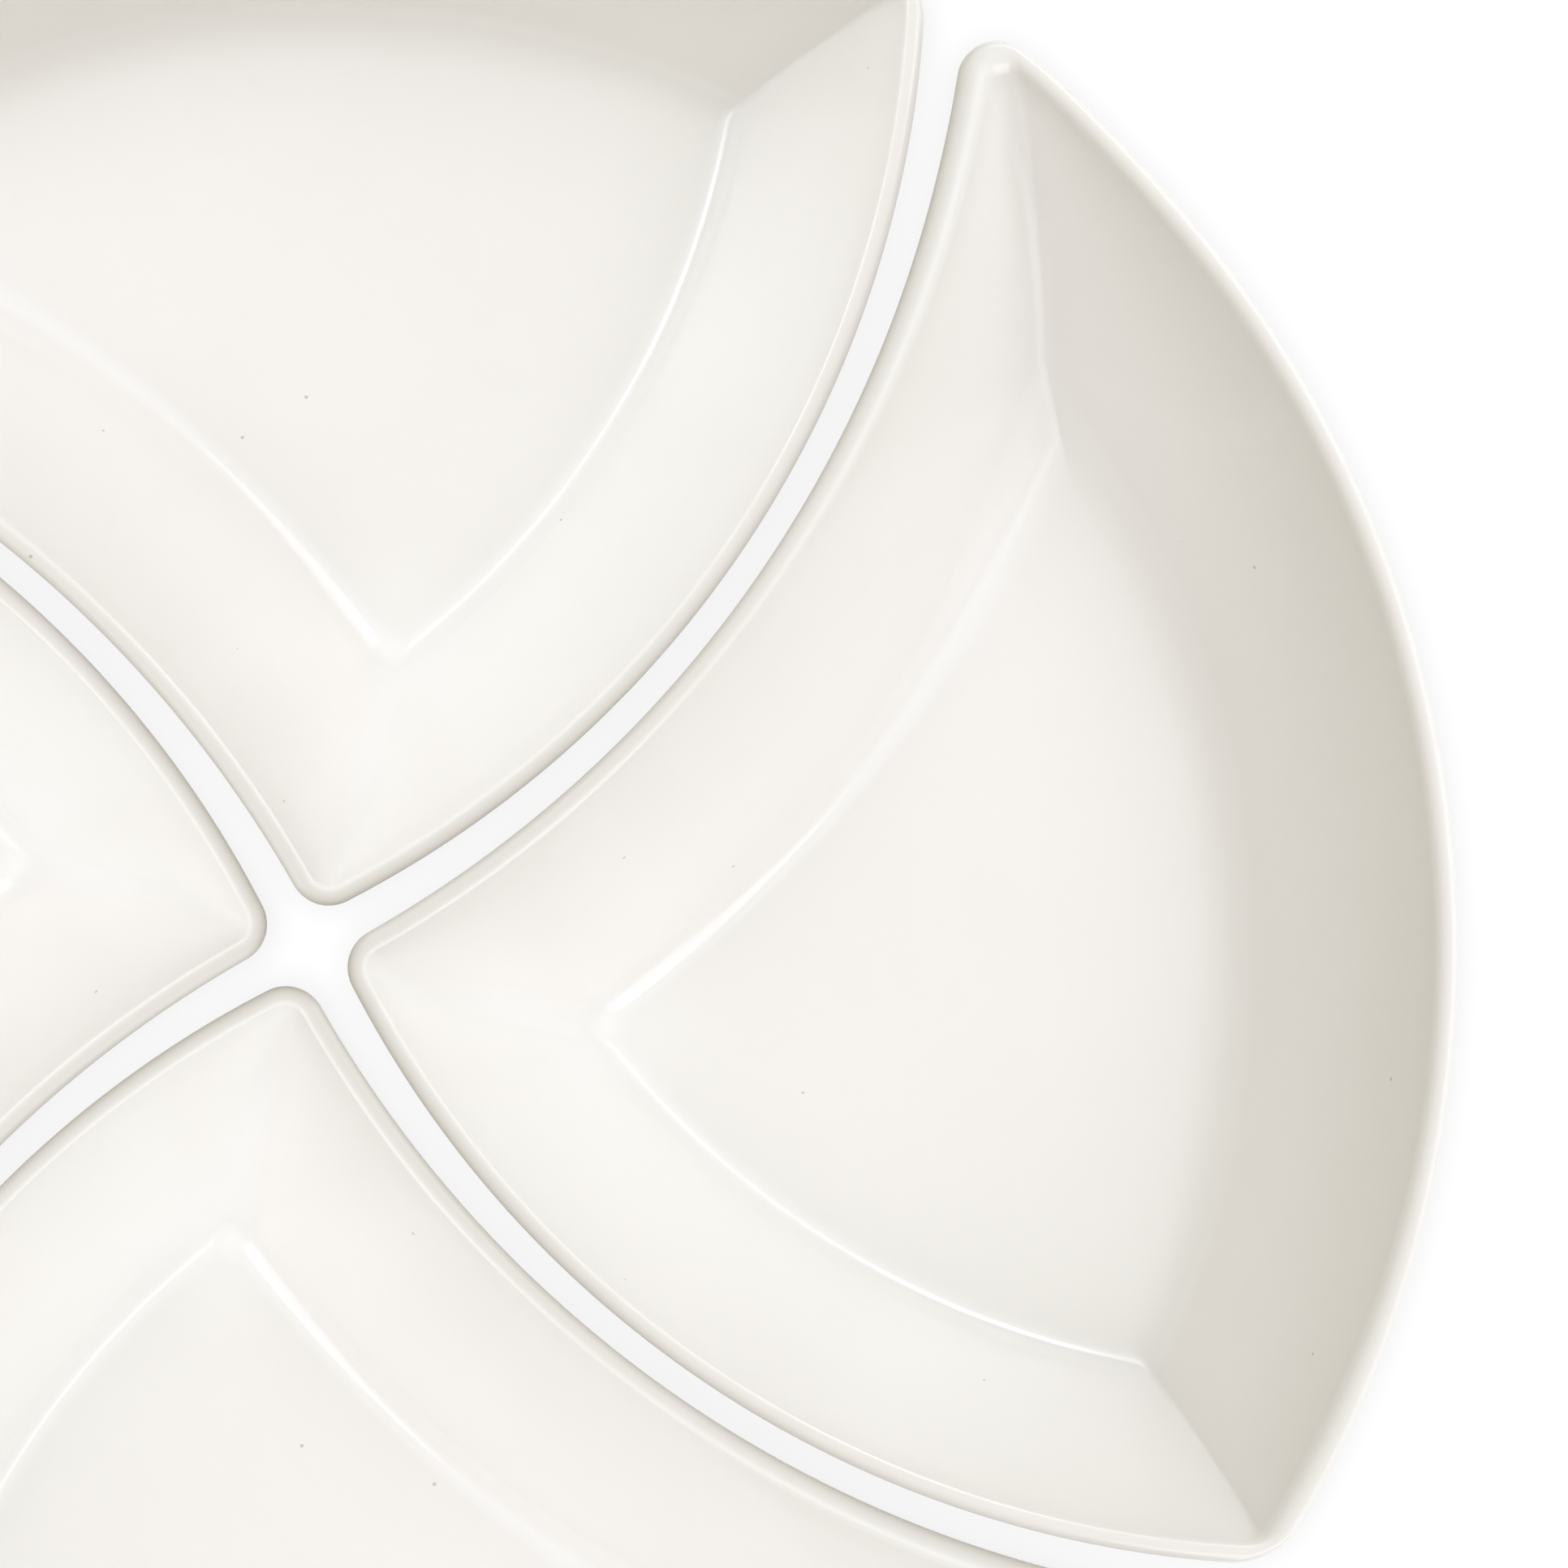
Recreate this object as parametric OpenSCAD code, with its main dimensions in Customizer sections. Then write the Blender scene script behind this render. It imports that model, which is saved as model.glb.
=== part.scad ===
// Set of four nesting dip bowls, each a curved triangle, standing in a pinwheel.
// Millimetres. The origin is the middle of the set on the table, and +Z is up.

/* [Set] */
// Width of the whole set
set_d = 240; // [210:1:280]
// Narrowest gap between two neighbouring bowls
gap = 2.8; // [1:0.1:6]

/* [Sides] */
// Radius of the convex side
convex_r = 111.5; // [100:0.5:125]
// How much flatter the concave side is than the convex side it faces
concave_ease = 9.8; // [0:0.1:14]
// Radius of the outer side
outer_r = 118; // [105:0.5:125]
// Rounding of the rim at the tip and at the inner end
corner_r = 4.2; // [3:0.1:7]
// Rounding of the rim at the heel, where the convex side meets the outer side
heel_r = 8.3; // [4:0.1:10]
// How far the tip is drawn out past the meeting of its two sides
tip_draw = 0.9; // [0:0.1:1.4]

/* [Wall] */
// Height of a bowl
bowl_h = 37; // [28:0.5:46]
// Slope of the convex side's wall from level, in degrees
wall_slope = 63; // [55:1:72]
// How much further in the concave side's wall runs than the convex side's, as a ratio
concave_lean = 1.08; // [1:0.01:1.15]
// Slope of the outer side's wall from level, in degrees
outer_slope = 57; // [52:1:70]
// How far the outer side's wall bows out at half height, measured level
outer_bow = 1.4; // [0:0.1:2]
// Thickness of the wall, measured level
wall_w = 3.8; // [3:0.1:5]
// Thickness of the lip, measured level
lip_w = 2.2; // [1.6:0.1:2.8]
// Rounding of the valleys where the outer side's wall meets the other two, at the tip and the heel
end_valley_r = 1.5; // [1:0.1:4]
// Rounding of the inner end's valley under the lip
lip_valley_r = 2; // [1:0.1:4]
// Rounding of the inner end's valley at the floor
floor_valley_r = 3; // [2:0.1:7]
// Rounding between the floor and the walls of the concave and convex sides
floor_fillet = 4; // [2:0.1:7]
// Rounding between the floor and the outer side's wall
outer_fillet = 7.5; // [4:0.1:9]

/* [Base] */
// Thickness of the floor
floor_t = 3.2; // [2.4:0.1:5]
// Height of the foot ring
foot_h = 1.4; // [1:0.1:3]
// Width of the foot ring
foot_w = 3; // [2:0.1:5]
// How far the foot ring stands in from the outer wall
foot_step = 0.8; // [0.4:0.1:2]
// Bevel on the edges of the foot ring
foot_edge = 0.4; // [0.2:0.1:0.8]
// Rounding of the corners of the foot
foot_corner_r = 6; // [4.5:0.1:8]

/* [Hidden] */

glaze = "ivory";

// Steps along each side and around each corner of an outline
side_steps = 16;
corner_steps = 7;
// Steps over each half of the lip, down the wall and around the floor fillet
lip_steps = 4;
wall_steps = 4;
fillet_steps = 5;

// Middle of the gap between the right and rear bowls, and the way across it toward the right bowl
gap_middle = polar(0.2555 * set_d, 40.9);
gap_across = -34.3;

// Centres and radii of the right bowl's concave, convex and outer sides
concave_r = convex_r + gap + concave_ease;
concave_c = gap_middle + polar(gap / 2 - concave_r, gap_across);
convex_c = quarter_back(gap_middle - polar(gap / 2 + convex_r, gap_across));
outer_c = polar(set_d / 2 - outer_r, -12);

// Middle of the tip's rounding, and the way and reach of its drawing out
tip_middle = meet(concave_c, concave_r + corner_r, outer_c, outer_r - corner_r, 1);
tip_way = polar(tip_draw, 73);
tip_reach = 2.6 * corner_r;

// Lip: crest, drop of its outer round and radius of its inner round
lip_crest = 0.6 * lip_w;
lip_drop = 0.75 * lip_w;
lip_inner_r = (lip_w - lip_crest) / sin(wall_slope);

// Inner wall from below the lip to the floor, and its slope and height where the outer side's fillet begins
wall_top = bowl_h - lip_inner_r * (1 - cos(wall_slope));
floor_z = foot_h + floor_t;
outer_low = low_slope(outer_slope, outer_bow);
fillet_z = floor_z + outer_fillet * (1 - cos(outer_low));

// Outside of the wall, plumb under the rim down to collar_z, then parallel to the inside as far as the foot
collar_z = wall_top - (wall_w - lip_w) * tan(wall_slope);
shoulder_z = foot_h + 1;
foot_out = (collar_z - foot_h) / tan(wall_slope) + foot_step;
foot_in = foot_out + foot_w;
foot_shift = (collar_z - foot_h) * (1 / tan(outer_slope) - 1 / tan(wall_slope));
foot_inner_r = max(end_valley_r, foot_corner_r - foot_w);

// One bowl as a stack of outlines, each
// [distance in, distance in on the outer side, height, corner radii at the inner end, the tip and the heel]
foot_rings = [
    foot_ring(foot_in, foot_h, foot_inner_r),
    foot_ring(foot_in, foot_edge, foot_inner_r),
    foot_ring(foot_in - foot_edge, 0, foot_inner_r),
    foot_ring(foot_out + foot_edge, 0, foot_corner_r),
    foot_ring(foot_out, foot_edge, foot_corner_r),
    foot_ring(foot_out, foot_h, foot_corner_r)
];
outside_rings = [
    for (i = [0 : wall_steps])
        let (
            share = i / wall_steps,
            z = shoulder_z + (collar_z - shoulder_z) * share,
            r = foot_corner_r + (corner_r - foot_corner_r) * share,
            low_r = foot_corner_r + (heel_r - foot_corner_r) * share
        )
        [outside(z, wall_slope, 0), outside(z, outer_slope, outer_bow), z, [r, r, low_r]]
];
lip_outer_rings = [
    for (i = [0 : lip_steps - 1])
        let (
            a = 90 * i / lip_steps,
            d = lip_crest * (1 - cos(a))
        )
        lip_ring(d, bowl_h - lip_drop * (1 - sin(a)))
];
lip_inner_rings = [
    for (i = [0 : lip_steps])
        let (
            a = wall_slope * i / lip_steps,
            d = lip_crest + lip_inner_r * sin(a)
        )
        lip_ring(d, bowl_h - lip_inner_r * (1 - cos(a)))
];
inside_rings = [
    for (i = [1 : wall_steps - 1])
        inside_ring(wall_top + (fillet_z - wall_top) * i / wall_steps)
];
floor_rings = [
    for (i = [fillet_steps : -1 : 0])
        inside_ring(floor_z + outer_fillet * (1 - cos(outer_low * i / fillet_steps)))
];
rings = concat(foot_rings, outside_rings, lip_outer_rings, lip_inner_rings, inside_rings, floor_rings);

// Outline of the foot, set further in under the gentler wall of the outer side
function foot_ring(d, z, r) = [d, d + foot_shift, z, [r, r, r]];

// Outline over the lip, with corners that lose radius inward
function lip_ring(d, z) =
    let (
        inner_r = max(lip_valley_r, corner_r - d),
        tip_r = max(end_valley_r, corner_r - d),
        low_r = heel_r + (end_valley_r - heel_r) * d / lip_w
    )
    [d, d, z, [inner_r, tip_r, low_r]];

// Outline inside the bowl at height z
function inside_ring(z) =
    let (
        share = min(1, (wall_top - z) / (wall_top - fillet_z)),
        inner_r = lip_valley_r + (floor_valley_r - lip_valley_r) * share
    )
    [
        inset(z, wall_slope, 0, floor_fillet),
        inset(z, outer_slope, outer_bow, outer_fillet),
        z,
        [inner_r, end_valley_r, end_valley_r]
    ];

// Slope at the foot of an inner wall that bows out
function low_slope(slope, bow) = atan(1 / (1 / tan(slope) + 4 * bow / (wall_top - floor_z)));

// Distance in from the rim at height z, on an inner wall or on its fillet at the floor
function inset(z, slope, bow, fillet) =
    let (
        drop = wall_top - floor_z,
        up = z - floor_z,
        low = low_slope(slope, bow),
        foot = lip_w + drop / tan(slope),
        edge = foot + fillet * tan(low / 2)
    )
    up > fillet * (1 - cos(low))
        ? foot - up / tan(slope) - 4 * bow * up * (drop - up) / (drop * drop)
        : edge - sqrt(fillet * fillet - (fillet - up) * (fillet - up));

// Distance in from the rim at height z on the outside of a wall
function outside(z, slope, bow) =
    let (
        drop = collar_z - foot_h,
        up = z - foot_h
    )
    (drop - up) / tan(slope) - 4 * bow * up * (drop - up) / (drop * drop);

// Point at distance r in direction a
function polar(r, a) = [r * cos(a), r * sin(a)];

// Point turned back by a quarter turn about the middle of the set
function quarter_back(p) = [p.y, -p.x];

// Direction of a vector
function heading(v) = atan2(v.y, v.x);

// Meeting point of two circles, on the left of the line c to e for side 1, on the right for side -1
function meet(c, r, e, s, side) =
    let (
        line = e - c,
        length = norm(line),
        along = (r * r - s * s + length * length) / (2 * length),
        across = side * sqrt(r * r - along * along)
    )
    c + (along * line + across * [-line.y, line.x]) / length;

// Points of an arc about c from p, turning to the heading of q by the shorter way, without its end
function arc(c, p, q, steps) =
    let (
        start = heading(p - c),
        turn = (heading(q - c) - start + 540) % 360 - 180
    )
    [for (i = [0 : steps - 1]) c + polar(norm(p - c), start + turn * i / steps)];

// Point drawn out with the tip, the more the nearer it is
function drawn(p) = p + exp(-pow(norm(p - tip_middle) / tip_reach, 2)) * tip_way;

// Rim outline moved inward by d, or outer_d on the outer side, with corners of radii r, counter-clockwise
function outline(d, outer_d, r) =
    let (
        concave = concave_r + concave_lean * d,
        convex = convex_r - d,
        outer = outer_r - outer_d,
        inner_c = meet(concave_c, concave + r[0], convex_c, convex - r[0], -1),
        tip_c = meet(concave_c, concave + r[1], outer_c, outer - r[1], 1),
        heel_c = meet(convex_c, convex - r[2], outer_c, outer - r[2], 1),
        outer_start = outer_c + polar(outer, heading(heel_c - outer_c)),
        outer_end = outer_c + polar(outer, heading(tip_c - outer_c)),
        concave_start = concave_c + polar(concave, heading(tip_c - concave_c)),
        concave_end = concave_c + polar(concave, heading(inner_c - concave_c)),
        convex_start = convex_c + polar(convex, heading(inner_c - convex_c)),
        convex_end = convex_c + polar(convex, heading(heel_c - convex_c))
    )
    concat(
        arc(outer_c, outer_start, outer_end, side_steps),
        arc(tip_c, outer_end, concave_start, corner_steps),
        arc(concave_c, concave_start, concave_end, side_steps),
        arc(inner_c, concave_end, convex_start, corner_steps),
        arc(convex_c, convex_start, convex_end, side_steps),
        arc(heel_c, convex_end, outer_start, corner_steps)
    );

// Solid skinned over a stack of outlines from the underside round to the floor
module skin(stack) {
    count = 3 * (side_steps + corner_steps);
    last = len(stack) - 1;
    points = [
        for (ring = stack)
            for (p = outline(ring[0], ring[1], ring[3]))
                let (q = drawn(p))
                [q.x, q.y, ring[2]]
    ];
    sides = [
        for (k = [0 : last - 1])
            for (i = [0 : count - 1])
                let (
                    j = (i + 1) % count,
                    low = k * count,
                    high = low + count
                )
                each [[low + i, high + i, high + j], [low + i, high + j, low + j]]
    ];
    underside = [for (i = [0 : count - 1]) i];
    floor_face = [for (i = [count - 1 : -1 : 0]) last * count + i];
    polyhedron(points, concat([underside], sides, [floor_face]), convexity = 6);
}

// The bowl that stands a number of quarter turns round from the right one
module bowl(quarters) {
    color(glaze)
        rotate(90 * quarters)
            skin(rings);
}

module right_bowl() { bowl(0); }
module rear_bowl() { bowl(1); }
module left_bowl() { bowl(2); }
module front_bowl() { bowl(3); }

right_bowl();
rear_bowl();
left_bowl();
front_bowl();
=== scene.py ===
"""Four fan-shaped porcelain dip bowls in a pinwheel, seen from straight above."""
import math

import bpy
import numpy as np
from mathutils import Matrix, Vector

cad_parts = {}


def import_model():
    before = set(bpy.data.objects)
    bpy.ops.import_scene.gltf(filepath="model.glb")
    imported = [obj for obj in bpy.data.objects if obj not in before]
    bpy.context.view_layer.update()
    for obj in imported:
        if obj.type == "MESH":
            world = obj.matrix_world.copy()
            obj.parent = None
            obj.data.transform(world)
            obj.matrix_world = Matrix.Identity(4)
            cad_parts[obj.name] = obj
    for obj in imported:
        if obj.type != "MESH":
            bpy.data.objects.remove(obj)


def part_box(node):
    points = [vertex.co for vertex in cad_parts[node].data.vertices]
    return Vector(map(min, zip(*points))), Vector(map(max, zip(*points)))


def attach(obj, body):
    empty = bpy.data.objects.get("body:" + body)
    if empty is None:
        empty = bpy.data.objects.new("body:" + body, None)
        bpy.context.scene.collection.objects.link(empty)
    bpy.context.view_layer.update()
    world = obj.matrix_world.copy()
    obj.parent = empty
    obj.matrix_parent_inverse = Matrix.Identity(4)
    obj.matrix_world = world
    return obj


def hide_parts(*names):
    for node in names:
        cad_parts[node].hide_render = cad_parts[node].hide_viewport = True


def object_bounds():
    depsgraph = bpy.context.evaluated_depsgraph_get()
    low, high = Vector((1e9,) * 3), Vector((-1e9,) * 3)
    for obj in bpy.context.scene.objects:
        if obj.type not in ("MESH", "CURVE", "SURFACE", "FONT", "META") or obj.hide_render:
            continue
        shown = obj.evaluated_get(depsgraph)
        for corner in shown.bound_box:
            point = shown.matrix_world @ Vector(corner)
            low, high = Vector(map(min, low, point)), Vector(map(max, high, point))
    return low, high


MM = 0.001
BOWLS = ["right_bowl", "rear_bowl", "left_bowl", "front_bowl"]

# Plan of one bowl, in millimetres about the middle of the set
SET_D = 240.0
GAP = 2.8
CONVEX_R = 111.5
CONCAVE_EASE = 9.8
OUTER_R = 118.0
CORNER_R = 4.2
HEEL_R = 8.3
GAP_MIDDLE = (0.2555 * SET_D, 40.9)
GAP_ACROSS = -34.3
OUTER_TOWARD = -12.0

# How far and which way the tip is drawn out past the meeting of its sides, and how far round that is felt
TIP_DRAW = (0.9, 73.0)
DRAW_REACH = 2.6 * CORNER_R

# Factor on the concave side's distances in from the rim, and on those at its tip end
CONCAVE_LEAN = 1.08
TIP_LEAN = 0.97

# Section of one bowl, in millimetres and degrees
WALL_SLOPE = 63.0
OUTER_SLOPE = 57.0
OUTER_BOW = 1.4
HEEL_SLOPE = 59.0
HEEL_BOW = 0.9
WALL_W = 3.8
LIP_W = 2.2
FLOOR_T = 3.2
FOOT_H = 1.4
FOOT_W = 3.0
FOOT_STEP = 0.8
FOOT_EDGE = 0.4
FOOT_CORNER_R = 6.0

# Small roundings where the foot ring meets the base and the outside, and how far above the ring the outside's
# first row lies
BASE_EASE = 0.5
FOOT_EASE = 0.15
SHOULDER_H = 1.0

# Radius of the valleys between two inner walls, under the lip and at the floor: at the inner end,
# and at the two ends of the outer side, where it is reached at a share of the wall's depth
LIP_VALLEY_R = 2.0
FLOOR_VALLEY_R = 3.0
END_LIP_R = 2.5
END_FLOOR_R = 0.8
END_DEPTH = 0.5

# Painted light: a whiter colour laid in two valleys, as a painted highlight along the tip's valley and as
# painted light that lifts the shade of the inner end's valley: its reach, the share of the wall's depth where
# the tip's highlight starts, how fast the two grow with that share, and the greatest share at the inner end,
# on the walls and on the floor
TIP_HIGHLIGHT_R = 0.6
INNER_LIGHT_R = 6.5
TIP_HIGHLIGHT_GROWTH = 3.0
TIP_HIGHLIGHT_OFFSET = 0.9
WALL_LIGHT_GROWTH = 1.5
WALL_PAINTED_LIGHT = 0.9
FLOOR_PAINTED_LIGHT = 0.7

# Radius between wall and floor, on the outer side, at the tip end of the concave side and at the heel end
# of the outer side, and the share of a side over which an end's profile fades
FILLET = 4.0
OUTER_FILLET = 7.5
TIP_FILLET = 9.0
HEEL_FILLET = 5.0
TIP_REACH = 0.6
HEEL_REACH = 0.35

# Lip: distance from its outer edge in to the crest, and drop from the crest to that edge, on the inner sides
# and on the outer side
INNER_CREST = 1.32
INNER_DROP = 0.75
OUTER_CREST = 0.6
OUTER_DROP = 0.6

# Broader lip on the outer side, at its heel end and at the tip end of the concave side, with the tip's crest
# and drop
OUTER_LIP_W = 2.4
HEEL_LIP_W = 3.2
TIP_LIP_W = 3.5
TIP_CREST = 1.74
TIP_DROP = 1.0

# Share of thin glaze on the lip, a darker colour that is partly real thin glaze and partly painted shade: the
# part of it at the outer edge on the inner sides, its share at the tip on the lip's outer and inner edges,
# and how fast it ends over the wall
LIP_THIN_SHADE = 0.25
LIP_THIN_SHADE_EDGE = 0.4
TIP_THIN_SHADE = 0.9
TIP_THIN_SHADE_IN = 0.4
THIN_SHADE_FADE = 10.0

# Rows of the mesh on the foot's edges, the outside, the lip's two slopes, the wall and the fillet
FOOT_ROWS = 5
OUTSIDE_ROWS = 13
CREST_ROWS = 13
LIP_ROWS = 11
WALL_ROWS = 16
FILLET_ROWS = 17

# Rings of the floor and the base, as shares of their outlines
INNER_RINGS = (0.98, 0.94, 0.89, 0.83, 0.76, 0.68, 0.55, 0.3, 0.1)

# Colours of the glaze, darkest and lightest, where it is thin with painted shade, of painted light in the
# valleys, of specks and of bare clay
GLAZE_DARK = (0.885, 0.868, 0.838, 1)
GLAZE_LIGHT = (0.9, 0.882, 0.852, 1)
THIN_SHADE_COLOUR = (0.8, 0.785, 0.752, 1)
PAINTED_LIGHT_COLOUR = (0.965, 0.95, 0.925, 1)
SPECK_COLOUR = (0.62, 0.59, 0.54, 1)
CLAY_COLOUR = (0.78, 0.74, 0.67, 1)

# Photograph: pixels across, the set's middle and width in it, and millimetres for one pixel at the rim
PHOTO_PX = 1932
PHOTO_MIDDLE = (378.5, 1165.5)
PHOTO_SET_PX = 2835.6
PHOTO_MM = SET_D / PHOTO_SET_PX

# Camera's lens and sensor, in millimetres
LENS_MM = 800.0
SENSOR_MM = 36.0

# Soft lights of the right bowl: direction and height in degrees, size in metres, power in watts and colour.
# The other bowls have the same lights, turned with them
LIGHTS = {
    "key": (290, 42, (0.36, 0.4), 1.13, (0.84, 0.8, 0.99)),
    "front": (325, 40, (0.5, 0.5), 0.2, (0.95, 0.95, 0.98)),
    "high": (300, 62, (0.6, 0.5), 0.57, (0.8, 0.96, 0.9)),
    "side": (52, 42, (0.35, 0.12), 0.33, (0.7, 0.82, 0.98)),
    "strip": (82, 42, (0.36, 0.16), 0.62, (0.8, 0.82, 0.98)),
    "heel": (110, 42, (0.4, 0.45), 0.55, (0.96, 0.97, 0.98)),
    "fill": (28, 42, (0.7, 0.6), 0.9, (0.93, 0.98, 0.99)),
    "upper": (25, 60, (0.9, 0.7), 0.8, (0.8, 0.81, 0.98)),
    "glint": (277, 22, (0.13, 0.13), 0.11, (0.95, 0.95, 0.98)),
}

# Where these lights aim, in millimetres and degrees about the set's middle, and how far off they stand,
# in metres
AIM = (75.0, 3.0)
AIM_Z = 20.0
LIGHT_AWAY = 0.6

# Half the table's width in metres, and its drop below the bowls in millimetres
TABLE_HALF = 4.0
TABLE_DROP = 0.2


def polar(r, degrees):
    a = math.radians(degrees)
    return np.array([r * math.cos(a), r * math.sin(a)])


def meet(c, r, other_c, other_r, side):
    """Meeting point of two circles, on the left of the line between their middles for side 1."""
    line = other_c - c
    length = np.hypot(*line)
    along = (r * r - other_r * other_r + length * length) / (2 * length)
    across = side * math.sqrt(r * r - along * along)
    return c + (along * line + across * np.array([-line[1], line[0]])) / length


def arc(c, start, toward, steps):
    """Points about c from the start to the heading of another point by the shorter way, without the end."""
    first = math.atan2(*(start - c)[::-1])
    turn = (math.atan2(*(toward - c)[::-1]) - first + 3 * math.pi) % (2 * math.pi) - math.pi
    a = first + turn * np.arange(steps) / steps
    return c + np.hypot(*(start - c)) * np.column_stack([np.cos(a), np.sin(a)])


class Plan:
    """The three sides of a bowl's rim and the outlines that run inside it."""

    side_steps = 72
    corner_steps = 20

    def __init__(self):
        middle = polar(*GAP_MIDDLE)
        self.concave_r = CONVEX_R + GAP + CONCAVE_EASE
        self.concave_c = middle + polar(GAP / 2 - self.concave_r, GAP_ACROSS)
        facing = middle - polar(GAP / 2 + CONVEX_R, GAP_ACROSS)
        self.convex_c = np.array([facing[1], -facing[0]])
        self.outer_c = polar(SET_D / 2 - OUTER_R, OUTER_TOWARD)
        self.tip = meet(self.concave_c, self.concave_r + CORNER_R, self.outer_c, OUTER_R - CORNER_R, 1)

    def outline(self, d, outer_d, tip_d, heel_d, inner_r, tip_r, heel_r):
        """Rim outline moved in by d, by outer_d on the outer side, and by tip_d and heel_d at these ends.

        The last three are the corner radii.
        """
        concave = self.concave_r + CONCAVE_LEAN * d
        tip_concave = self.concave_r + TIP_LEAN * tip_d
        convex = CONVEX_R - d
        outer = OUTER_R - outer_d
        heel_outer = OUTER_R - heel_d
        tip = meet(self.concave_c, tip_concave + tip_r, self.outer_c, outer - tip_r, 1)
        inner = meet(self.concave_c, concave + inner_r, self.convex_c, convex - inner_r, -1)
        heel = meet(self.convex_c, convex - heel_r, self.outer_c, heel_outer - heel_r, 1)

        def touch(c, radius, corner):
            return c + radius * (corner - c) / np.hypot(*(corner - c))

        outer_start = touch(self.outer_c, heel_outer, heel)
        outer_end = touch(self.outer_c, outer, tip)
        concave_start = touch(self.concave_c, tip_concave, tip)
        concave_end = touch(self.concave_c, concave, inner)
        convex_start = touch(self.convex_c, convex, inner)
        convex_end = touch(self.convex_c, convex, heel)
        side = self.side_steps
        corner = self.corner_steps

        def eased(c, start, end, usual, at_start, fade):
            radius = usual + (at_start - usual) * fade
            return c + (arc(c, start, end, side) - c) * (radius / at_start)[:, None]

        line = np.vstack([
            eased(self.outer_c, outer_start, outer_end, outer, heel_outer, self.fade(HEEL_REACH)),
            arc(tip, outer_end, concave_start, corner),
            eased(self.concave_c, concave_start, concave_end, concave, tip_concave, self.fade(TIP_REACH)),
            arc(inner, concave_end, convex_start, corner),
            arc(self.convex_c, convex_start, convex_end, side),
            arc(heel, convex_end, outer_start, corner),
        ])
        near = np.exp(-(np.hypot(*(line - self.tip).T) / DRAW_REACH)**2)
        return line + near[:, None] * polar(*TIP_DRAW)

    def fade(self, reach):
        """Share of an end's profile at each step along the side that starts there."""
        along = np.arange(self.side_steps) / (reach * self.side_steps)
        return 0.5 + 0.5 * np.cos(np.pi * np.minimum(along, 1))

    def tip_of(self, line):
        """Middle of the tip's corner on an outline."""
        return line[self.side_steps + self.corner_steps // 2]

    def inner_end_of(self, line):
        """Middle of the inner end's corner on an outline."""
        return line[2 * self.side_steps + self.corner_steps + self.corner_steps // 2]

    def levels(self, z, outer_z, tip_z, heel_z):
        """Height or share at each point of an outline, from its inner sides, outer side, tip and heel."""
        side = self.side_steps
        corner = self.corner_steps
        turn = 0.5 + 0.5 * np.cos(np.pi * np.arange(corner) / corner)
        return np.concatenate([
            outer_z + (heel_z - outer_z) * self.fade(HEEL_REACH),
            tip_z + (outer_z - tip_z) * turn,
            z + (tip_z - z) * self.fade(TIP_REACH),
            np.full(corner + side, z),
            heel_z + (z - heel_z) * turn,
        ])


class Wall:
    """Inside of one side's wall: a slope that may bow out from lip to floor, and a fillet onto the floor."""

    def __init__(self, height, degrees, fillet, bow=0.0):
        self.run = 1 / math.tan(math.radians(degrees))
        self.bow = bow
        self.fillet = fillet
        self.height = height
        self.floor = FOOT_H + FLOOR_T
        self.top = height - (LIP_W - INNER_CREST) * math.tan(math.radians(WALL_SLOPE) / 2)
        self.drop = self.top - self.floor
        self.foot = LIP_W + self.drop * self.run
        self.high = math.atan(1 / (self.run - 4 * bow / self.drop))
        self.low = math.atan(1 / (self.run + 4 * bow / self.drop))
        self.low_z = self.floor + fillet * (1 - math.cos(self.low))
        self.edge = self.foot + fillet * math.tan(self.low / 2)

    def lip(self, width, crest, drop):
        """Rows over a lip from its outer edge to the wall, each distance in and height."""
        inner_r = (width - crest) / math.sin(self.high)
        rows = []
        for a in np.linspace(0, math.pi / 2, CREST_ROWS):
            rows.append((crest * (1 - math.cos(a)), self.height - drop * (1 - math.sin(a))))
        for a in np.linspace(0, self.high, LIP_ROWS)[1:]:
            rows.append((crest + inner_r * math.sin(a), self.height - inner_r * (1 - math.cos(a))))
        return rows

    def inset(self, z):
        up = z - self.floor
        return self.foot - up * self.run - 4 * self.bow * up * (self.drop - up) / self.drop**2

    def wall_row(self, start, share):
        """Distance in and height at a share of the way from the lip's last row to the fillet."""
        z = start[1] + (self.low_z - start[1]) * share
        return self.inset(z) + (start[0] - self.inset(start[1])) * (1 - share), z

    def fillet_row(self, share):
        """Distance in and height at a share of the way round the fillet, from the wall to the floor."""
        a = self.low * (1 - share)
        return self.edge - self.fillet * math.sin(a), self.floor + self.fillet * (1 - math.cos(a))


def painted_light_near(line, middle, reach):
    """Share of painted light about a point, at each point of an outline."""
    return np.exp(-(np.hypot(*(line[:, :2] - middle[:2]).T) / reach)**2)


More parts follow.
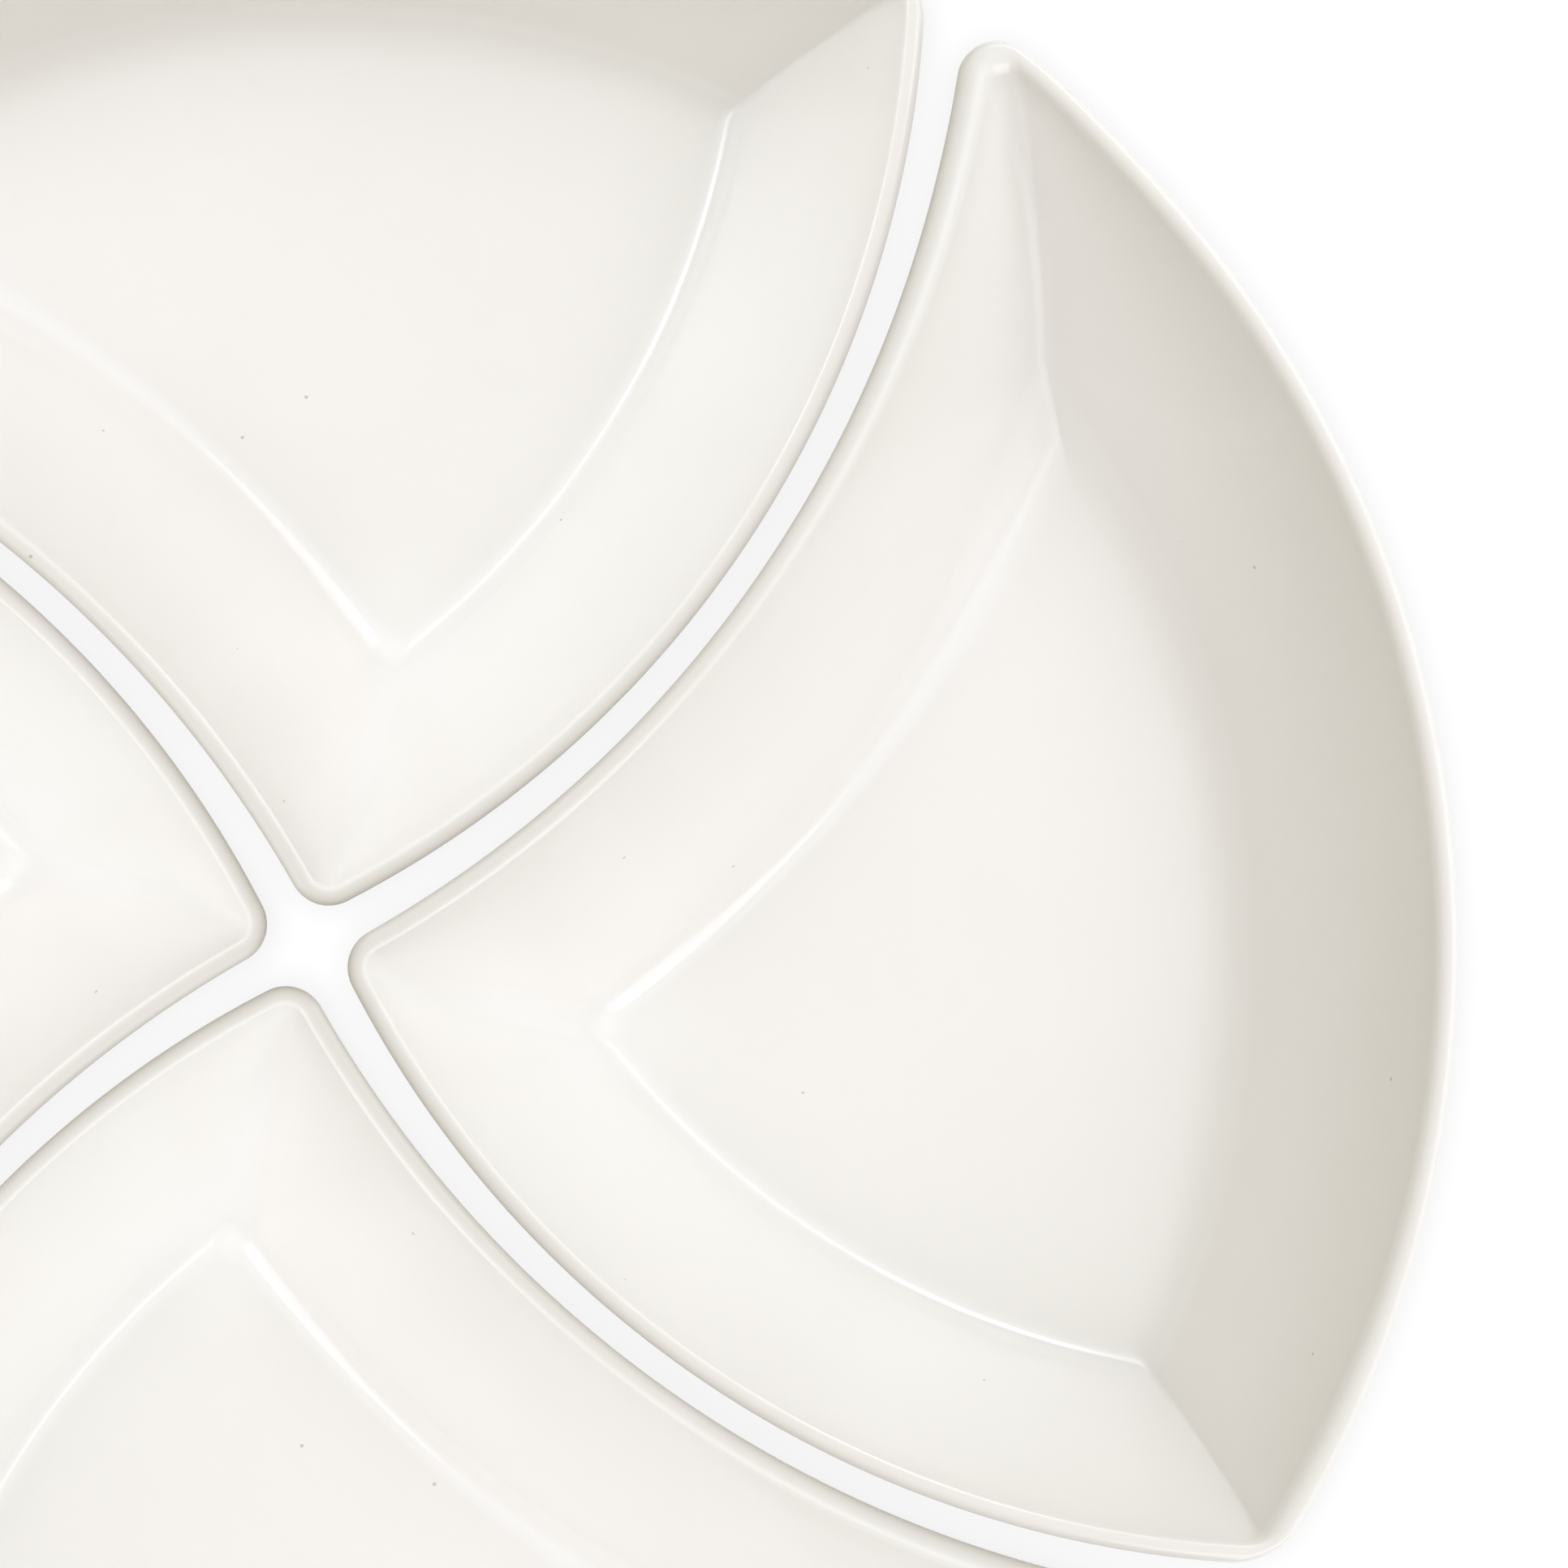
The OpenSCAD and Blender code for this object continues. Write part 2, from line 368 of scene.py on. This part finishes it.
def section(height):
    """Rows from the underside up and over to the floor.

    Each has its places on the inner sides, the outer side, the tip and the heel, its corner radii, and its
    shares of bare clay, thin glaze with painted shade, and painted light in the valleys.
    """
    wall = Wall(height, WALL_SLOPE, FILLET)
    outer_wall = Wall(height, OUTER_SLOPE, OUTER_FILLET, OUTER_BOW)
    tip_wall = Wall(height, WALL_SLOPE, TIP_FILLET)
    heel_wall = Wall(height, HEEL_SLOPE, HEEL_FILLET, HEEL_BOW)
    collar_z = wall.top - (WALL_W - LIP_W) / wall.run
    shoulder_z = FOOT_H + SHOULDER_H
    foot_out = (collar_z - FOOT_H) * wall.run + FOOT_STEP
    foot_in = foot_out + FOOT_W
    shift = (collar_z - FOOT_H) * (outer_wall.run - wall.run)
    inner_r = FOOT_CORNER_R - FOOT_W
    rows = []

    def row(place, outer, radii, tip=None, heel=None, bare=0.0, thin_and_shade=(0.0, 0.0, 0.0), pool=(0.0, 0.0)):
        rows.append((place, outer, tip or place, heel or outer, radii, bare, thin_and_shade, pool))

    def foot(d, z, r, bare=0.0):
        row((d, z), (d + shift, z), (r, r, r), bare=bare)

    foot(foot_in + BASE_EASE, FOOT_H, inner_r)
    foot(foot_in + 0.2 * BASE_EASE, FOOT_H - 0.12 * BASE_EASE, inner_r)
    foot(foot_in, FOOT_H - 0.6 * BASE_EASE, inner_r)
    foot(foot_in, 1.25 * FOOT_EDGE, inner_r)
    for a in np.linspace(0, math.pi / 2, FOOT_ROWS):
        foot(foot_in - FOOT_EDGE * (1 - math.cos(a)), FOOT_EDGE * (1 - math.sin(a)), inner_r, 1.0)
    for a in np.linspace(0, math.pi / 2, FOOT_ROWS):
        foot(foot_out + FOOT_EDGE * (1 - math.sin(a)), FOOT_EDGE * (1 - math.cos(a)), FOOT_CORNER_R, 1.0)
    foot(foot_out, FOOT_H - 0.1, FOOT_CORNER_R)
    foot(foot_out - FOOT_EASE, FOOT_H + FOOT_EASE, FOOT_CORNER_R)
    for t in np.linspace(0, 1, OUTSIDE_ROWS):
        z = shoulder_z + (collar_z - shoulder_z) * t
        r = FOOT_CORNER_R + (CORNER_R - FOOT_CORNER_R) * t
        heel_r = FOOT_CORNER_R + (HEEL_R - FOOT_CORNER_R) * t
        down = collar_z - z
        bow = 4 * OUTER_BOW * down * (z - FOOT_H) / (collar_z - FOOT_H)**2
        row((down * wall.run, z), (down * outer_wall.run - bow, z), (r, r, heel_r))
    edge = wall.lip(LIP_W, INNER_CREST, INNER_DROP)
    outer_edge = outer_wall.lip(OUTER_LIP_W, OUTER_CREST, OUTER_DROP)
    tip_edge = tip_wall.lip(TIP_LIP_W, TIP_CREST, TIP_DROP)
    heel_edge = heel_wall.lip(HEEL_LIP_W, OUTER_CREST, OUTER_DROP)
    for place, outer, tip, heel in zip(edge, outer_edge, tip_edge, heel_edge):
        r = CORNER_R - place[0]
        heel_r = HEEL_R + (END_LIP_R - HEEL_R) * place[0] / LIP_W
        # Lip darkened by thin glaze and painted shade, most at the tip's outer edge
        tip_thin_shade = TIP_THIN_SHADE + (TIP_THIN_SHADE_IN - TIP_THIN_SHADE) * (tip[0] / TIP_LIP_W)**2
        inner_thin_shade = LIP_THIN_SHADE * (LIP_THIN_SHADE_EDGE + (1 - LIP_THIN_SHADE_EDGE) * place[0] / LIP_W)
        thin_and_shade = (inner_thin_shade, LIP_THIN_SHADE * outer[0] / OUTER_LIP_W, tip_thin_shade)
        row(place, outer, (max(LIP_VALLEY_R, r), max(END_LIP_R, r), heel_r), tip, heel, thin_and_shade=thin_and_shade)
    for t in np.linspace(0, 1, WALL_ROWS)[1:-1]:
        place = wall.wall_row(edge[-1], t)
        outer = outer_wall.wall_row(outer_edge[-1], t)
        tip = tip_wall.wall_row(tip_edge[-1], t)
        heel = heel_wall.wall_row(heel_edge[-1], t)
        r = LIP_VALLEY_R + (FLOOR_VALLEY_R - LIP_VALLEY_R) * t
        end_r = END_LIP_R + (END_FLOOR_R - END_LIP_R) * min(1, t / END_DEPTH)
        # Thin glaze with painted shade fades down the wall; a painted highlight grows along the tip's valley
        # and painted light in the inner end's valley
        fade = max(0.0, 1 - THIN_SHADE_FADE * t)
        tip_highlight = min(1.0, max(0.0, TIP_HIGHLIGHT_GROWTH * t - TIP_HIGHLIGHT_OFFSET))
        pool = (tip_highlight, min(WALL_PAINTED_LIGHT, WALL_LIGHT_GROWTH * t))
        thin_and_shade = (LIP_THIN_SHADE * fade, LIP_THIN_SHADE * fade, TIP_THIN_SHADE_IN * fade)
        row(place, outer, (r, end_r, end_r), tip, heel, thin_and_shade=thin_and_shade, pool=pool)
    for t in np.linspace(0, 1, FILLET_ROWS):
        place, outer, tip, heel = [side.fillet_row(t) for side in (wall, outer_wall, tip_wall, heel_wall)]
        # Painted highlight at the tip fades onto the floor; painted light at the inner end eases to the
        # floor's share
        pool = (1 - t, WALL_PAINTED_LIGHT + (FLOOR_PAINTED_LIGHT - WALL_PAINTED_LIGHT) * t)
        row(place, outer, (FLOOR_VALLEY_R, END_FLOOR_R, END_FLOOR_R), tip, heel, pool=pool)
    return rows


def bowl_mesh(name, quarters, height):
    """Fine mesh of the bowl that stands a number of quarter turns round from the right one."""
    plan = Plan()
    rings = []
    bare = []
    thin_and_shade = []
    pool = []
    # The last two shares of each row are thin glaze with painted shade and painted light in the valleys
    for *places, radii, clay, lip, painted_light_shares in section(height):
        line = plan.outline(*[place[0] for place in places], *radii)
        rings.append(np.column_stack([line, plan.levels(*[place[1] for place in places])]))
        bare.append(np.full(len(line), clay))
        thin_and_shade.append(plan.levels(*lip, lip[1]))
        # Painted highlight along the tip's valley and painted light in the inner end's valley
        tip_highlight = painted_light_shares[0] * painted_light_near(line, plan.tip_of(line), TIP_HIGHLIGHT_R)
        pool.append(tip_highlight + painted_light_shares[1] * painted_light_near(line, plan.inner_end_of(line), INNER_LIGHT_R))

    def to_middle(ring):
        middle = ring.mean(0)
        return [middle + (ring - middle) * share for share in INNER_RINGS]

    floor = to_middle(rings[-1])
    under = to_middle(rings[0])[::-1]
    count = len(rings[0])
    none = [np.zeros(count)] * len(INNER_RINGS)
    inner_end = plan.inner_end_of(rings[-1])
    # Painted light on the floor by the inner end
    pool += [FLOOR_PAINTED_LIGHT * painted_light_near(ring, inner_end, INNER_LIGHT_R) for ring in floor]
    bare += none
    thin_and_shade += none
    rings = under + rings + floor
    points = np.vstack(rings + [under[0].mean(0)[None], floor[-1].mean(0)[None]])
    turn = math.radians(90 * quarters)
    cosine = math.cos(turn)
    sine = math.sin(turn)
    points[:, :2] = points[:, :2] @ np.array([[cosine, sine], [-sine, cosine]])
    faces = []
    for k in range(len(rings) - 1):
        low = k * count
        high = low + count
        for i in range(count):
            j = (i + 1) % count
            faces.append((low + i, low + j, high + j, high + i))
    first = len(points) - 2
    last = len(points) - 1
    end = (len(rings) - 1) * count
    for i in range(count):
        j = (i + 1) % count
        faces.append((first, j, i))
        faces.append((last, end + i, end + j))
    mesh = bpy.data.meshes.new(name)
    mesh.from_pydata((points * MM).tolist(), [], faces)
    mesh.update()
    for key, rows in (("bare", bare), ("thin_and_shade", thin_and_shade), ("pool", pool)):
        level = np.concatenate(none + rows + [np.zeros(2)]).astype(np.float32)
        mesh.attributes.new(key, "FLOAT", "POINT").data.foreach_set("value", level)
    mesh.shade_smooth()
    return mesh


def node(tree, kind, x=0, y=0, **values):
    made = tree.nodes.new(kind)
    made.location = (x, y)
    for key, value in values.items():
        setattr(made, key, value)
    return made


def glaze_material():
    """Warm white gloss glaze with rare specks, thin with painted shade on the lip, painted lighter in two
    valleys, bare on the foot.
    """
    mat = bpy.data.materials.new("porcelain_glaze")
    mat.use_nodes = True
    tree = mat.node_tree
    link = tree.links.new
    shader = tree.nodes["Principled BSDF"]
    shader.inputs["IOR"].default_value = 1.52
    coords = node(tree, "ShaderNodeTexCoord", -1600, 0)

    def noise(scale, detail, x, y):
        made = node(tree, "ShaderNodeTexNoise", x, y)
        made.inputs["Scale"].default_value = scale
        made.inputs["Detail"].default_value = detail
        link(coords.outputs["Object"], made.inputs["Vector"])
        return made.outputs["Fac"]

    def blend(factor, before, colour, x, y):
        made = node(tree, "ShaderNodeMix", x, y, data_type="RGBA")
        made.inputs["B"].default_value = colour
        link(factor, made.inputs["Factor"])
        link(before, made.inputs["A"])
        return made.outputs["Result"]

    tone = node(tree, "ShaderNodeValToRGB", -1100, 300)
    tone.color_ramp.elements[0].position = 0.3
    tone.color_ramp.elements[0].color = GLAZE_DARK
    tone.color_ramp.elements[1].position = 0.7
    tone.color_ramp.elements[1].color = GLAZE_LIGHT
    link(noise(45.0, 3.0, -1350, 300), tone.inputs["Fac"])

    # Lip darkened by thin glaze and painted shade
    edge = node(tree, "ShaderNodeAttribute", -1100, 50, attribute_name="thin_and_shade")
    lip = blend(edge.outputs["Fac"], tone.outputs["Color"], THIN_SHADE_COLOUR, -800, 250)
    # Whiter colour painted in the valleys: a painted highlight at the tip and painted light at the inner end
    painted_light_mask = node(tree, "ShaderNodeAttribute", -900, -50, attribute_name="pool")
    with_painted_light = blend(painted_light_mask.outputs["Fac"], lip, PAINTED_LIGHT_COLOUR, -650, 250)

    cells = node(tree, "ShaderNodeTexVoronoi", -1350, -400)
    cells.inputs["Scale"].default_value = 150.0
    link(coords.outputs["Object"], cells.inputs["Vector"])
    dot = node(tree, "ShaderNodeMath", -1100, -300, operation="LESS_THAN")
    dot.inputs[1].default_value = 0.03
    link(cells.outputs["Distance"], dot.inputs[0])
    parts = node(tree, "ShaderNodeSeparateColor", -1100, -500)
    link(cells.outputs["Color"], parts.inputs["Color"])
    rare = node(tree, "ShaderNodeMath", -900, -500, operation="GREATER_THAN")
    rare.inputs[1].default_value = 0.6
    link(parts.outputs["Red"], rare.inputs[0])
    speck = node(tree, "ShaderNodeMath", -700, -350, operation="MULTIPLY")
    link(dot.outputs["Value"], speck.inputs[0])
    link(rare.outputs["Value"], speck.inputs[1])
    iron = blend(speck.outputs["Value"], with_painted_light, SPECK_COLOUR, -500, 200)

    bare = node(tree, "ShaderNodeAttribute", -700, -50, attribute_name="bare")
    clay = blend(bare.outputs["Fac"], iron, CLAY_COLOUR, -250, 150)
    link(clay, shader.inputs["Base Color"])

    gloss = node(tree, "ShaderNodeMapRange", -500, -150)
    gloss.inputs["To Min"].default_value = 0.07
    gloss.inputs["To Max"].default_value = 0.14
    link(noise(60.0, 2.0, -700, -150), gloss.inputs["Value"])
    rough = node(tree, "ShaderNodeMix", -250, -150)
    rough.inputs["B"].default_value = 0.75
    link(bare.outputs["Fac"], rough.inputs["Factor"])
    link(gloss.outputs["Result"], rough.inputs["A"])
    link(rough.outputs["Result"], shader.inputs["Roughness"])

    bump = node(tree, "ShaderNodeBump", -250, -400)
    bump.inputs["Strength"].default_value = 0.06
    bump.inputs["Distance"].default_value = 0.001
    link(noise(90.0, 1.0, -500, -500), bump.inputs["Height"])
    link(bump.outputs["Normal"], shader.inputs["Normal"])
    return mat


def table_material():
    """White backlit tabletop that takes a faint shadow."""
    mat = bpy.data.materials.new("white_table")
    mat.use_nodes = True
    shader = mat.node_tree.nodes["Principled BSDF"]
    shader.inputs["Base Color"].default_value = (0.02, 0.02, 0.02, 1)
    shader.inputs["Roughness"].default_value = 0.9
    shader.inputs["Specular IOR Level"].default_value = 0.0
    shader.inputs["Emission Color"].default_value = (1, 1, 1, 1)
    shader.inputs["Emission Strength"].default_value = 0.8
    return mat


def shine_on(lamp, pieces):
    """Let a lamp light only the given pieces."""
    group = bpy.data.collections.new(lamp.name + "_on")
    for piece in pieces:
        group.objects.link(piece)
    lamp.light_linking.receiver_collection = group


def softbox(name, bowl, azimuth, elevation, size, power, colour):
    """Soft light for one bowl, aimed at its middle from a direction turned with it."""
    quarters = BOWLS.index(bowl.name.removesuffix("_glazed"))
    aim = polar(AIM[0] * MM, AIM[1] + 90 * quarters)
    a = math.radians(azimuth + 90 * quarters)
    e = math.radians(elevation)
    back = Vector((math.cos(a) * math.cos(e), math.sin(a) * math.cos(e), math.sin(e)))
    data = bpy.data.lights.new(name, "AREA")
    data.shape = "RECTANGLE"
    data.size, data.size_y = size
    data.energy = power
    data.color = colour
    lamp = bpy.data.objects.new(name, data)
    lamp.location = Vector((aim[0], aim[1], AIM_Z * MM)) + back * LIGHT_AWAY
    lamp.rotation_mode = "QUATERNION"
    lamp.rotation_quaternion = back.to_track_quat("Z", "Y")
    lamp.visible_camera = False
    bpy.context.scene.collection.objects.link(lamp)
    shine_on(lamp, [bowl])


def make_bowls():
    glaze = glaze_material()
    made = []
    for quarters, name in enumerate(BOWLS):
        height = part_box(name)[1].z / MM
        piece = bpy.data.objects.new(name + "_glazed", bowl_mesh(name + "_glazed", quarters, height))
        bpy.context.scene.collection.objects.link(piece)
        piece.data.materials.append(glaze)
        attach(piece, name)
        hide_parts(name)
        made.append(piece)
    return made


def make_stage():
    half = TABLE_HALF
    corners = [(-half, -half, 0), (half, -half, 0), (half, half, 0), (-half, half, 0)]
    mesh = bpy.data.meshes.new("table")
    mesh.from_pydata(corners, [], [(0, 1, 2, 3)])
    mesh.materials.append(table_material())
    table = bpy.data.objects.new("table", mesh)
    table.location.z = -TABLE_DROP * MM
    bpy.context.scene.collection.objects.link(table)
    return table


def make_light(bowls, table):
    """Warm fill all round, softboxes turned with each bowl and a soft overhead light on the table."""
    scene = bpy.context.scene
    scene.view_settings.view_transform = "Standard"
    world = bpy.data.worlds.new("studio")
    scene.world = world
    world.use_nodes = True
    sky = world.node_tree.nodes["Background"]
    sky.inputs["Color"].default_value = (1.0, 0.88, 0.57, 1)
    sky.inputs["Strength"].default_value = 0.3
    for bowl in bowls:
        for name, light in LIGHTS.items():
            softbox(bowl.name + "_" + name, bowl, *light)
    data = bpy.data.lights.new("overhead", "SUN")
    data.energy = 31.4
    data.angle = math.radians(11)
    lamp = bpy.data.objects.new("overhead", data)
    lamp.location.z = 1.0
    scene.collection.objects.link(lamp)
    shine_on(lamp, [table])


def make_camera(height):
    data = bpy.data.cameras.new("camera")
    data.lens = LENS_MM
    data.sensor_width = SENSOR_MM
    data.clip_end = 20.0
    camera = bpy.data.objects.new("camera", data)
    centre = PHOTO_PX / 2
    width = PHOTO_PX * PHOTO_MM
    camera.location = (
        (centre - PHOTO_MIDDLE[0]) * PHOTO_MM * MM,
        (PHOTO_MIDDLE[1] - centre) * PHOTO_MM * MM,
        height + width * MM * LENS_MM / SENSOR_MM,
    )
    bpy.context.scene.collection.objects.link(camera)
    bpy.context.scene.camera = camera


def main():
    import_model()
    cad_low, cad_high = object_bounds()
    make_camera(cad_high.z)
    bowls = make_bowls()
    table = make_stage()
    make_light(bowls, table)


main()
